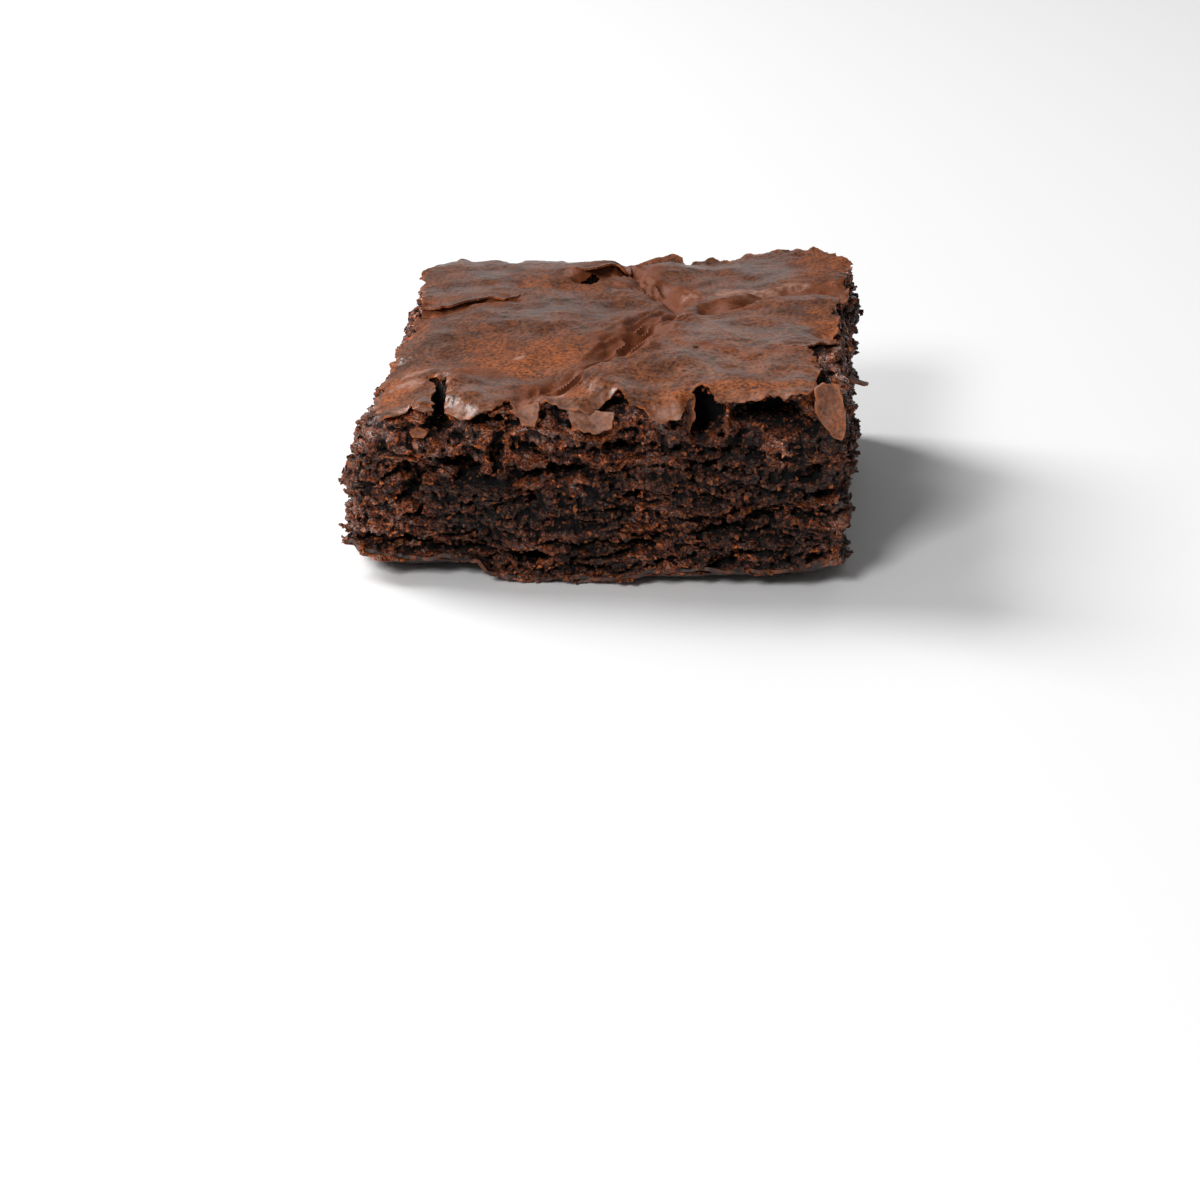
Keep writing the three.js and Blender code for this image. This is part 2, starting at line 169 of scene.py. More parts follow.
def cell_value(i, j, k, seed):
    """A fixed random number from 0 to 1 for each cell of a grid."""
    i, j, k = (np.atleast_1d(n).astype(np.int64).astype(np.uint32) for n in (i, j, k))
    h = (i * np.uint32(374761393)) ^ (j * np.uint32(668265263))
    h = h ^ (k * np.uint32(1274126177)) ^ np.uint32((seed * 974711) & 0xFFFFFFFF)
    h = (h ^ (h >> np.uint32(13))) * np.uint32(1103515245)
    h = h ^ (h >> np.uint32(16))
    return (h / 4294967296.0).astype(np.float32)


def noise(x, y, z, seed):
    """Smooth noise from -1 to 1 that has one bump in each cell."""
    x, y, z = np.broadcast_arrays(x, y, z)
    cell = [np.floor(p) for p in (x, y, z)]
    u, v, w = (smooth(0, 1, p - c) for p, c in zip((x, y, z), cell))
    total = 0
    for a, b, c in itertools.product((0, 1), repeat=3):
        share = (u if a else 1 - u) * (v if b else 1 - v) * (w if c else 1 - w)
        total = total + share * cell_value(cell[0] + a, cell[1] + b, cell[2] + c, seed)
    return 2 * total - 1


def plan_noise(x, y, width, seed):
    """The same over a plan, with bumps of this width."""
    return noise(x / width, y / width, 0, seed)


def ridges(x, y, width, seed, crest=0.3):
    """Noise with sharp crests over a plan."""
    return crest - np.abs(plan_noise(x, y, width, seed))


def along(keys, place):
    """Reads a list of (place, value) keys at any place between them."""
    at = np.array([k[0] for k in keys], float)
    value = np.array([k[1] for k in keys], float)
    n = np.clip(np.searchsorted(at, place, side="left"), 1, len(at) - 1)
    return value[n - 1] + (value[n] - value[n - 1]) * smooth(at[n - 1], at[n], place)


def near_run(run, x, y):
    """Distance to a run of plan points, the side it is on and the way to the run's nearer end."""
    best = np.full(np.broadcast(x, y).shape, 1e9)
    side = np.ones_like(best)
    walked = np.zeros_like(best)
    length = 0
    for (ax, ay), (bx, by) in zip(run, run[1:]):
        dx, dy = bx - ax, by - ay
        span = math.hypot(dx, dy)
        t = np.clip(((x - ax) * dx + (y - ay) * dy) / span**2, 0, 1)
        distance = np.hypot(x - ax - t * dx, y - ay - t * dy)
        closer = distance < best
        turn = np.sign(dx * (y - ay) - dy * (x - ax))
        best = np.where(closer, distance, best)
        side = np.where(closer, np.where(turn == 0, 1, turn), side)
        walked = np.where(closer, length + t * span, walked)
        length += span
    return best, side, np.minimum(walked, length - walked)


def sway(x, y):
    """How far the folds wander to each side, in x and in y."""
    return FOLD_SWAY * np.stack([plan_noise(x, y, SWAY_LENGTH, seed) for seed in SWAY_SEEDS])


def top_height(x, y):
    """Height of the crust's upper face above the base, without its cracks."""
    u = (x + HALF) / (2 * HALF)
    v = (y + HALF) / (2 * HALF)
    front = CORNER_HEIGHT["front left"] * (1 - u) + CORNER_HEIGHT["front right"] * u
    back = CORNER_HEIGHT["back left"] * (1 - u) + CORNER_HEIGHT["back right"] * u
    z = front * (1 - v) + back * v
    z = z + 0.8 * plan_noise(x, y, 17, 3) + 0.35 * plan_noise(x, y, 7, 4)
    z = z - smooth(-24, -35, x) * (1.2 + 1.6 * smooth(2, -20, y))
    z = z - 0.9 * smooth(24, 35, y) * smooth(6, -6, x)
    z = z - along(BACK_SAG, x) * smooth(24, 34, y)
    sway_x, sway_y = np.broadcast_arrays(x, y) + sway(x, y)
    for run, high, lift, reach, depth, width in FOLDS:
        distance, side, from_end = near_run(run, sway_x, sway_y)
        shown = smooth(0, 3, from_end)
        risen = smooth(-0.5, 0.7, high * side * distance)
        z = z + shown * lift * risen * np.exp(-distance / reach)
        z = z - shown * depth * np.exp(-((distance / width) ** 2))
    return z


def crack_depth(x, y):
    """How far an open crack has sunk the crust."""
    sunk = 0
    for run, width in CRACKS:
        distance = near_run(run, x, y)[0]
        sunk = np.maximum(sunk, CRACK_DEPTH * smooth(width, 0.4 * width, distance))
    return sunk


def side_axes(side, x, y):
    """The place along a side, the way across it and the sign of its outward direction."""
    place, across = (x, y) if side in ("front", "back") else (y, x)
    return place, across, -1 if side in ("front", "left") else 1


def corner_round(place):
    return CORNER_ROUND * np.abs(place / HALF) ** 14


def crumb_inset(side, place, z, above_base, across=0):
    """Distance in from a side's plane to its crumb."""
    low, high = LEAN[side]
    seed = SIDE_SEED[side]
    inset = low + (high - low) * smooth(0, 28, z)
    inset = inset - along(BULGE[side], place) * smooth(-2, 8, z) * smooth(30, 20, z)
    inset = inset + 0.8 * noise(place / 12, z / 9, 0, seed + 10)
    inset = inset + 0.55 * noise(place / 5, z / 2.4, 0, seed + 20)
    rugged = 0.5 * noise(place / 0.8, z / 0.8, across / 0.8, seed + 50)
    ragged_place = place + 1.3 * noise(place / 2.4, z / 1.8, across / 3, seed + 30) + rugged
    ragged_z = z + 0.7 * noise(place / 2.4, z / 1.8, across / 3, seed + 40) + rugged
    for steep, openings in ((False, HOLLOWS[side]), (True, HOLES[side])):
        for at, height, half_length, half_height, depth in openings:
            spread = ((ragged_place - at) / half_length) ** 2 + ((ragged_z - height) / half_height) ** 2
            inset = inset + depth * (smooth(1.9, 0.7, spread) if steep else np.exp(-(spread**1.5)))
    return inset - SKIN_OVERHANG * smooth(1.8, 0.9, above_base)


def base_height(x, y):
    """Height of the lower face: it rises towards the front edge, and its rim is worn all round."""
    rise = along(FRONT_RISE, x) * smooth(-20, -34, y)
    rim = np.maximum(np.abs(x), np.abs(y)) / HALF
    worn = (1.3 + 0.5 * plan_noise(x, y, 6, 7)) * smooth(0.84, 1, rim)
    return np.maximum(rise + worn - BASE_CUT, 0)


def crust_inset(side, place):
    """Distance in from a side's plane to the torn edge of the crust."""
    return along(CRUST_EDGE[side], place) + CRUST_TEAR * noise(place / 2.6, 0, 0, SIDE_SEED[side])


def from_crust_edge(x, y):
    """Distance in plan from the torn outer edge of the crust, above zero where there is crust."""
    inside = np.full(x.shape, FAR)
    for side in SIDE_SEED:
        place, across, sign = side_axes(side, x, y)
        inset = crust_inset(side, place) + corner_round(place)
        inside = np.minimum(inside, HALF - sign * across - inset)
    return inside


def crust_height(x, y):
    """Height of the crust's upper face where it also bends down over the front cut side."""
    hang = 0
    for place, half_width, drop in DROOPS:
        hang = np.maximum(hang, drop * np.exp(-np.abs((x - place) / half_width) ** 3))
    behind_rim = y + HALF - crust_inset("front", x)
    return top_height(x, y) - hang * smooth(DROOP_REACH, -0.4, behind_rim)


def crust_face(x, y):
    """The crust's upper face with its swells, its creases and the crumpled skin in its valleys."""
    z = crust_height(x, y) + 0.75 * noise(x / 9, y / 7, 0, 86)
    z = z + 0.2 * noise(x / 3, y / 2.6, 0, 82) - 0.2
    crease = 0.3 - np.abs(noise(x / 5 + y / 9, y / 4, 0, 87))
    z = z + 0.26 * crease + 0.05 * plan_noise(x, y, 0.9, 83)
    for index, (run, _, _, _, depth, width) in enumerate(FOLDS):
        distance, _, from_end = near_run(run, x, y)
        lengthwise = np.subtract(run[-1], run[0])
        ux, uy = lengthwise / np.linalg.norm(lengthwise)
        skin = noise((ux * y - uy * x) / 1.15, (ux * x + uy * y) / 3.4, float(index), 88)
        valley = smooth(0, 4, from_end) * np.exp(-((distance / (1.7 * width)) ** 2))
        z = z + 0.95 * min(depth, 1.4) * valley * (0.35 - np.abs(skin))
    return z


def side_depth(side, x, y, z):
    """How deep a point lies behind the smooth form of a cut side."""
    place, across, sign = side_axes(side, x, y)
    rim = side_axes(side, place, np.full_like(place, sign * (HALF - 1)))[:2]
    inset = crumb_inset(side, place, z, z - base_height(*rim), across)
    inset = inset + corner_round(place)
    inset = inset + UNDERCUT * smooth(2.4, 0.6, top_height(*rim) - CRUST_THICKNESS - z)
    return HALF - sign * across - inset


def nearest_grain(x, y, z, seed):
    """Squared distance to the nearest of the points scattered one to a cell."""
    start = [np.floor(p - 0.5) for p in (x, y, z)]
    nearest = np.full(x.shape, FAR, np.float32)
    for step in itertools.product((0, 1), repeat=3):
        i, j, k = (s + n for s, n in zip(start, step))
        apart = 0
        for n, (p, c) in enumerate(((x, i), (y, j), (z, k))):
            apart = apart + (p - c - 0.5 - 0.8 * (cell_value(i, j, k, seed + n) - 0.5)) ** 2
        nearest = np.minimum(nearest, apart)
    return nearest


def turned(x, y, z, angle):
    """The same place on axes turned about two of them, so that no grid lies along a cut side."""
    c, s = math.cos(angle), math.sin(angle)
    x, y = c * x + s * y, c * y - s * x
    return c * x + s * z, y, c * z - s * x


LUMP, GRAIN, SPECK = 2.3, 1.05, 0.55  # width of the lumps, of their grains and of the specks on them


def crags(x, y, z):
    """How far the broken crumb stands out of the smooth form."""
    open_grain = smooth(15, 20.5, z + 2.5 * plan_noise(x, y, 9, 40))
    level = z + 1.3 * noise(x / 9, y / 9, z / 6, 41) + 0.5 * noise(x / 3, y / 3, z / 2, 47)
    # Layers: a fissure opens where two of them part, and each stands out by its own amount.
    parting = smooth(0.24, 0.04, np.abs(noise(x / 7, y / 7, level / 1.5, 42)))
    parting = parting * smooth(-0.3, 0.25, noise(x / 5, y / 5, level / 2.6, 43))
    proud = -(1.8 + 0.8 * smooth(-24, -30, y)) * (1 - 0.7 * open_grain) * parting
    proud = proud + 0.9 * noise(x / 5, y / 5, level / 1.1, 46) * (1 - 0.6 * open_grain)
    cavern = smooth(0.22, 0.6, noise(x / 4.4, y / 4.4, level / 2.2, 49))
    proud = proud - 2.3 * cavern * (0.6 + 0.4 * open_grain)
    # Air holes, larger under the crust.
    pore = smooth(0.2, 0.7, noise(x / 2.7, y / 2.7, level / 1.8, 44))
    proud = proud - (0.8 + 1.4 * open_grain) * pore
    # Lumps, and the grains that they are made of.
    sway = 0.35 * noise(x / 1.5, y / 1.5, z / 1.5, 48)
    low_layer = 1 + 0.7 * (1 - open_grain)
    lump = nearest_grain(*(p / LUMP for p in turned(x + sway, y, level * low_layer, 0.6)), 50)
    grain = nearest_grain(*(p / GRAIN for p in turned(x, y + sway, level * low_layer, 1.1)), 60)
    fine = nearest_grain(*(p / SPECK for p in turned(x, y, z, 2)), 65)
    return proud + 2.2 * (0.3 - lump) + 2 * (0.3 - grain) + 1 * (0.3 - fine)


def reached_from(seeds, room):
    """Part of a plan or a room of grid points that can be walked to from the seeds."""
    reached = seeds & room
    count = -1
    while reached.sum() != count:
        count = reached.sum()
        for _ in range(6):
            grown = reached.copy()
            for axis in range(room.ndim):
                ahead = [slice(None)] * room.ndim
                behind = [slice(None)] * room.ndim
                ahead[axis], behind[axis] = slice(1, None), slice(None, -1)
                grown[tuple(ahead)] |= reached[tuple(behind)]
                grown[tuple(behind)] |= reached[tuple(ahead)]
            reached = grown & room
    return reached


def solid_share(solid, reach):
    """Share of the room around each grid point that is solid: over a half in a pocket, under it on a tip."""
    share = solid.astype(np.float32)
    for axis, size in enumerate(solid.shape):
        total = np.cumsum(share, axis=axis)
        total = np.concatenate((np.zeros_like(np.take(total, [0], axis)), total), axis)
        low = np.maximum(np.arange(size) - reach, 0)
        high = np.minimum(np.arange(size) + reach + 1, size)
        shape = [1, 1, 1]
        shape[axis] = size
        share = (np.take(total, high, axis) - np.take(total, low, axis)) / (high - low).reshape(shape)
    return share


def make_nets(field, low, step):
    """A closed mesh where the field crosses zero: one point in each cell that it crosses, joined by quads."""
    inside = field > 0
    counts = np.zeros(np.array(field.shape) - 1, np.uint8)
    for a, b, c in itertools.product((0, 1), repeat=3):
        counts += inside[a:a + counts.shape[0], b:b + counts.shape[1], c:c + counts.shape[2]]
    cell = np.argwhere((counts > 0) & (counts < 8))
    corner = {}
    for offset in itertools.product((0, 1), repeat=3):
        i, j, k = (cell + offset).T
        corner[offset] = field[i, j, k]
    total = np.zeros((len(cell), 3))
    crossings = np.zeros(len(cell))
    for axis in range(3):
        for pair in itertools.product((0, 1), repeat=2):
            near, far = (pair[:axis] + (end,) + pair[axis:] for end in (0, 1))
            f0, f1 = corner[near], corner[far]
            crossed = (f0 > 0) != (f1 > 0)
            point = np.tile(np.array(near, float), (len(cell), 1))
            point[:, axis] = np.where(crossed, f0 / np.where(crossed, f0 - f1, 1), 0)
            total += point * crossed[:, None]
            crossings += crossed
    points = low + (cell + total / crossings[:, None]) * step
    number = np.full(counts.shape, -1, np.int64)
    number[tuple(cell.T)] = np.arange(len(cell))
    quads = []
    for axis in range(3):
        one, two = (axis + 1) % 3, (axis + 2) % 3
        start = [slice(1, -1)] * 3
        start[axis] = slice(0, -1)
        ahead = list(start)
        ahead[axis] = slice(1, None)
        here, there = inside[tuple(start)], inside[tuple(ahead)]
        for leaving in (True, False):
            at = np.argwhere((here & ~there) if leaving else (~here & there))
            at += [0 if n == axis else 1 for n in range(3)]
            ring = []
            for back_one, back_two in ((1, 1), (0, 1), (0, 0), (1, 0)):
                shift = np.zeros(3, np.int64)
                shift[one], shift[two] = back_one, back_two
                ring.append(number[tuple((at - shift).T)])
            quads.append(np.stack(ring if leaving else ring[::-1], 1))
    return points, np.concatenate(quads)


def add_object(name, data):
    piece = bpy.data.objects.new(name, data)
    bpy.context.scene.collection.objects.link(piece)
    return piece


SHARP_EDGE = 48  # degrees between two faces of a smooth mesh from which their edge is crisp


def make_mesh(name, points, faces, values, faceted=False):
    """A mesh object in metres, from millimetre points, equal-sided faces and named point values."""
    mesh = bpy.data.meshes.new(name)
    mesh.vertices.add(len(points))
    placed = (np.asarray(points) - [MIDDLE[0], MIDDLE[1], 0]) * MM
    mesh.vertices.foreach_set("co", placed.astype(np.float32).ravel())
    sides = faces.shape[1]
    mesh.loops.add(faces.size)
    mesh.loops.foreach_set("vertex_index", faces.astype(np.int32).ravel())
    mesh.polygons.add(len(faces))
    mesh.polygons.foreach_set("loop_start", np.arange(0, faces.size, sides, dtype=np.int32))
    mesh.polygons.foreach_set("loop_total", np.full(len(faces), sides, np.int32))
    mesh.polygons.foreach_set("use_smooth", np.full(len(faces), not faceted))
    for key, value in values.items():
        layer = mesh.attributes.new(key, "FLOAT", "POINT")
        layer.data.foreach_set("value", np.asarray(value, np.float32))
    mesh.update(calc_edges=True)
    mesh.validate()
    if not faceted:
        mesh.set_sharp_from_angle(angle=math.radians(SHARP_EDGE))
    return add_object(name, mesh)


BLOCK = 25.5  # the outer blocks reach this close to the middle, deeper than any hollow
BLOCK_MARGIN = 1.6  # worked out around each block, so that neighbours agree
CRAG_DEPTH = 5.5  # the broken crumb reaches this far in from the smooth form
CRAG_OUT = 2.5  # and this far out of it
BASE_GAP = 0.2  # crumb above the lower face of the base skin


def crumb_block(name, low, high, step):
    """One block of the crumb between two corners."""
    margin = round(BLOCK_MARGIN / step)
    first = np.rint(np.array(low) / step).astype(int) - 1
    last = np.rint(np.array(high) / step).astype(int) + 1
    x, y, z = (step * np.arange(first[n] - margin, last[n] + margin + 1) for n in range(3))
    x, y, z = x[:, None, None], y[None, :, None], z[None, None, :]
    side = np.full(np.broadcast(x, y, z).shape, FAR, np.float32)
    reach_of_side = {"front": -low[1], "back": high[1], "left": -low[0], "right": high[0]}
    for side_name, reach in reach_of_side.items():
        if reach > BLOCK:
            side = np.minimum(side, side_depth(side_name, x, y, z))
    plan_x, plan_y = np.broadcast_arrays(x[:, :, 0], y[:, :, 0])
    loose = 0.45 * smooth(0.1, 0.6, plan_noise(plan_x, plan_y, 4, 71))
    roof = crust_face(plan_x, plan_y) - crack_depth(plan_x, plan_y) - ROOF_GAP - loose
    roof = roof[:, :, None] - z
    floor = z - base_height(plan_x, plan_y)[:, :, None] - BASE_GAP
    near = (side < CRAG_DEPTH) & (side > -CRAG_OUT) & (roof > -1) & (floor > -1)
    at = [np.broadcast_to(p, near.shape)[near].astype(np.float32) for p in (x, y, z)]
    field = side.copy()
    broken = crags(*at)
    field[near] += broken * smooth(-0.4, 1, roof[near] + 0.6) * smooth(-1, 0.6, floor[near])
    uncovered = smooth(0.6, -0.6, from_crust_edge(plan_x, plan_y))[:, :, None]
    roof = roof + 0.3 * plan_noise(plan_x, plan_y, 1.1, 70)[:, :, None]
    roof[near] += 0.9 * broken * np.broadcast_to(uncovered, near.shape)[near]
    field = np.minimum(np.minimum(field, roof), floor)
    field = np.clip(field, -step, step).astype(np.float32)
    rim = np.zeros(field.shape, bool)
    rim[[0, -1]] = rim[:, [0, -1]] = rim[:, :, [0, -1]] = True
    bubble = (field <= 0) & ~reached_from(rim, field <= 0)
    field = np.where(bubble, 0.2 * step, field)
    scrap = (field > 0) & ~reached_from(side > 4.5, field > 0)
    field = np.where(scrap, -0.2 * step, field)
    solid = field > 0
    inner = (slice(margin, -margin),) * 3
    bare = (side < 5) & (roof > 1) & (floor > 0.8)
    shares = {
        "bare": bare.astype(np.float32)[inner],
        "pocket": solid_share(solid, round(1.5 / step))[inner],
        "tip": solid_share(solid, max(1, round(0.5 / step)))[inner],
    }
    field = field[inner].copy()
    for end in (0, -1):
        for face in (field[end], field[:, end], field[:, :, end]):
            np.minimum(face, -step, out=face)
    points, faces = make_nets(field, first * step, step)
    cell = np.clip(np.rint(points / step).astype(int) - first, 0, np.array(field.shape) - 1)
    values = {key: share[tuple(cell.T)] for key, share in shares.items()}
    px, py, pz = points.T
    recess = HALF - np.maximum(np.abs(px), np.abs(py))
    # A point more than 3 to 5 mm in from the outer sides counts as a deep pocket, which the crumb's colour
    # ramps paint near black as shade.
    values["pocket"] = np.maximum(values["pocket"], 0.34 + 0.3 * smooth(3, 4.8, recess))
    upper = smooth(16, 21, pz + 2.5 * plan_noise(px, py, 9, 40)) * smooth(16, 2, px)
    patch = smooth(-0.1, 0.5, noise(px / 8, py / 8, pz / 4, 45))
    corner = smooth(11, 4, np.hypot(px + 30, 1.3 * (pz - 7)))
    fringe = 0.85 * smooth(6, 2.5, top_height(px, py) - pz + 1.5 * plan_noise(px, py, 3, 37))
    dry = np.maximum.reduce([upper, corner, fringe, (0.7 - 0.25 * smooth(0, 16, px)) * patch])
    for at, height, size in DRY_CLUMPS:
        far = np.hypot(px - at, pz - height) / size + 0.4 * plan_noise(px, pz, 1.2, 39)
        dry = np.maximum(dry, smooth(1.2, 0.7, far) * smooth(-30, -32, py))
    values["dry"] = np.clip(dry, 0, 1)
    return make_mesh(name, points, faces, values, faceted=True)


# Each block, from left to right, from front to back and with the step of its grid.
REACH = 38
TOP = 33
THIRD = 12
FINE, MEDIUM, COARSE = 0.22, 0.3, 0.45
crumb_pieces = [
    crumb_block("crumb_" + name, (x0, y0, 0), (x1, y1, TOP), step) for name, x0, x1, y0, y1, step in (
        ("front_left", -REACH, -THIRD, -REACH, -BLOCK, FINE),
        ("front_middle", -THIRD, THIRD, -REACH, -BLOCK, FINE),
        ("front_right", THIRD, REACH, -REACH, -BLOCK, FINE),
        ("back_left", -REACH, 0, BLOCK, REACH, MEDIUM),
        ("back_right", 0, REACH, BLOCK, REACH, MEDIUM),
        ("left", -REACH, -BLOCK, -BLOCK, BLOCK, MEDIUM),
        ("right", BLOCK, REACH, -BLOCK, BLOCK, MEDIUM),
        ("middle", -BLOCK, BLOCK, -BLOCK, BLOCK, COARSE),
    )
]


def new_material(name):
    material = bpy.data.materials.new(name)
    material.use_nodes = True
    return material, material.node_tree, material.node_tree.nodes["Principled BSDF"]


def fill(tree, node, inputs):
    """A value or a link for each named input of a node."""
    for key, value in inputs.items():
        if isinstance(value, bpy.types.NodeSocket):
            tree.links.new(value, node.inputs[key])
        else:
            node.inputs[key].default_value = value


def add_node(tree, kind, inputs, **settings):
    node = tree.nodes.new(kind)
    for key, value in settings.items():
        setattr(node, key, value)
    fill(tree, node, inputs)
    return node.outputs


def new_group(kind, name, inputs, outputs):
    """A node group with named inputs and outputs, each of its own kind."""
    tree = bpy.data.node_groups.new(name, kind)
    for in_out, sockets in (("INPUT", inputs), ("OUTPUT", outputs)):
        for key, value_kind in sockets.items():
            tree.interface.new_socket(key, in_out=in_out, socket_type="NodeSocket" + value_kind)
    return tree, tree.nodes.new("NodeGroupInput").outputs, tree.nodes.new("NodeGroupOutput").inputs


def speckle_group():
    """Spots of about one size in object coordinates, as a height and as a mask between two of its levels."""
    inputs = dict.fromkeys(("Size", "Detail", "Low", "High"), "Float")
    tree, given, result = new_group("ShaderNodeTree", "speckle", inputs, {"Height": "Float", "Mask": "Float"})
    place = add_node(tree, "ShaderNodeTexCoord", {})["Object"]
    scale = add_node(tree, "ShaderNodeMath", {0: 1, 1: given["Size"]}, operation="DIVIDE")["Value"]
    grain = {"Vector": place, "Scale": scale, "Detail": given["Detail"]}
    height = add_node(tree, "ShaderNodeTexNoise", grain)["Fac"]
    ends = {"Value": height, "From Min": given["Low"], "From Max": given["High"]}
    tree.links.new(height, result["Height"])
    tree.links.new(add_node(tree, "ShaderNodeMapRange", ends)["Result"], result["Mask"])
    return tree


def graining_group(speckle):
    """Fine grain of a baked surface, finer than its mesh."""
    inputs = dict.fromkeys(("Size", "Detail", "Strength", "Depth"), "Float")
    tree, given, result = new_group("ShaderNodeTree", "graining", inputs, {"Normal": "Vector"})
    spotted = {key: given[key] for key in ("Size", "Detail")}
    height = add_node(tree, "ShaderNodeGroup", spotted, node_tree=speckle)["Height"]
    bump = {"Height": height, "Strength": given["Strength"], "Distance": given["Depth"]}
    tree.links.new(add_node(tree, "ShaderNodeBump", bump)["Normal"], result["Normal"])
    return tree


speckle_tree = speckle_group()
graining_tree = graining_group(speckle_tree)


def spots(tree, size_mm, detail, low, high):
    """Mask of spots of this size, 0 below the low level of the noise and 1 above the high one."""
    values = {"Size": size_mm * MM, "Detail": detail, "Low": low, "High": high}
    return add_node(tree, "ShaderNodeGroup", values, node_tree=speckle_tree)["Mask"]


def graining(tree, size_mm, detail, strength, depth_mm):
    values = {"Size": size_mm * MM, "Detail": detail, "Strength": strength, "Depth": depth_mm * MM}
    return add_node(tree, "ShaderNodeGroup", values, node_tree=graining_tree)["Normal"]


def point_value(tree, name):
    return add_node(tree, "ShaderNodeAttribute", {}, attribute_name=name)["Fac"]


def colour_ramp(tree, share, stops):
    ramp = tree.nodes.new("ShaderNodeValToRGB")
    while len(ramp.color_ramp.elements) < len(stops):
        ramp.color_ramp.elements.new(0.5)
    for element, (position, colour) in zip(ramp.color_ramp.elements, stops):
        element.position = position
        element.color = (*colour, 1)
    tree.links.new(share, ramp.inputs["Fac"])
    return ramp.outputs["Color"]


def remap(tree, source, low, high, to_low=0, to_high=1):
    values = {"Value": source, "From Min": low, "From Max": high, "To Min": to_low, "To Max": to_high}
    return add_node(tree, "ShaderNodeMapRange", values)["Result"]


def product(tree, first, second):
    return add_node(tree, "ShaderNodeMath", {0: first, 1: second}, operation="MULTIPLY")["Value"]


def blend_colour(tree, share, first, second, mode="MIX"):
    first, second = ((*value, 1) if isinstance(value, tuple) else value for value in (first, second))
    values = {"Factor": share, "A": first, "B": second}
    return add_node(tree, "ShaderNodeMix", values, data_type="RGBA", blend_type=mode)["Result"]


crumb_material, tree, shader = new_material("moist_crumb")
dry = point_value(tree, "dry")
pocket = remap(tree, point_value(tree, "pocket"), 0.34, 0.64)
# Painted shade: both crumb colours go from their own tone on open faces to near black in pockets, where
# little light reaches.
wet_colour_and_pocket_shade = colour_ramp(tree, pocket, [
    (0, (0.030, 0.0145, 0.0105)),
    (0.3, (0.014, 0.0078, 0.0067)),
    (0.6, (0.004, 0.0028, 0.0031)),
    (1, (0.0008, 0.0006, 0.0006)),
])
dry_colour_and_pocket_shade = colour_ramp(tree, pocket, [
    (0, (0.30, 0.070, 0.019)),
    (0.3, (0.14, 0.032, 0.011)),
    (0.6, (0.028, 0.008, 0.005)),
    (1, (0.001, 0.0006, 0.0005)),
])
colour = blend_colour(tree, dry, wet_colour_and_pocket_shade, dry_colour_and_pocket_shade)
# Tips of the open crumb turn lighter orange: partly the dry crumb's own colour, partly painted glow of light
# through the thin tips.
tip_colour_and_glow = blend_colour(tree, spots(tree, 0.6, 3, 0.46, 0.64), (0.10, 0.026, 0.010), (0.66, 0.15, 0.02))
on_tip = product(tree, remap(tree, point_value(tree, "tip"), 0.48, 0.26),
                 remap(tree, dry, 0, 1, 0.35, 1))
colour = blend_colour(tree, on_tip, colour, tip_colour_and_glow)
colour = blend_colour(tree, spots(tree, 0.32, 3, 0.48, 0.56), colour, (0.14, 0.12, 0.14), "MULTIPLY")
# Melted sugar wets the open crumb under the crust in small spots that glint.
sticky = product(tree, spots(tree, 1.6, 3, 0.47, 0.57), remap(tree, pocket, 0.8, 0.4))
normal = graining(tree, 0.4, 5, 1, 0.4)
fill(tree, shader, {
    "Base Color": colour, "Roughness": remap(tree, pocket, 0.1, 0.6, 0.36, 0.95), "Specular IOR Level": 0.3,
    "Coat Weight": product(tree, sticky, remap(tree, dry, 0.2, 0.8)), "Coat Roughness": 0.17, "Coat IOR": 1.7,
    "Normal": normal, "Coat Normal": normal})
for piece in crumb_pieces:
    piece.data.materials.append(crumb_material)
    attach(piece, "root")
    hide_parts("brownie")

# The crust
# A papery skin of sugar and cocoa that dries on top in the oven. It cracks and rides over itself in
# plates as the bake sinks, and the knife tears its edge.
CRUST_STEP = 0.33
CRUST_SHEET = 0.42  # thickness of the sheet itself
# Zones that baked dull and orange: place in plan, half length and half width.
DULL_ZONES = [
    (-13, -13, 14, 9), (-29, -22, 6, 8), (-6, -27, 8, 6), (-30, 4, 4, 12), (-8, 17, 7, 4), (30, 26, 5, 9),
    (31, -2, 4, 9), (9, 14, 4, 6), (18, -31, 12, 2.5), (2, -9, 4, 9), (24, 12, 8, 3), (31, 17, 4.5, 5),
]
# Pale patches where the skin is stretched thin: its own paler colour, with painted sheen where it shines.
# Place in plan and size.
PALE_SHEEN_PATCHES = [
    (-5.2, -30.6, 1.3), (-27.4, -22.2, 2.5), (-26.6, -18, 2.3), (-12.5, -14, 1), (16.4, 13.6, 3),
    (20.6, 14.6, 2.8), (25.6, 16.4, 2.4), (10.4, 12.6, 1.8),
]


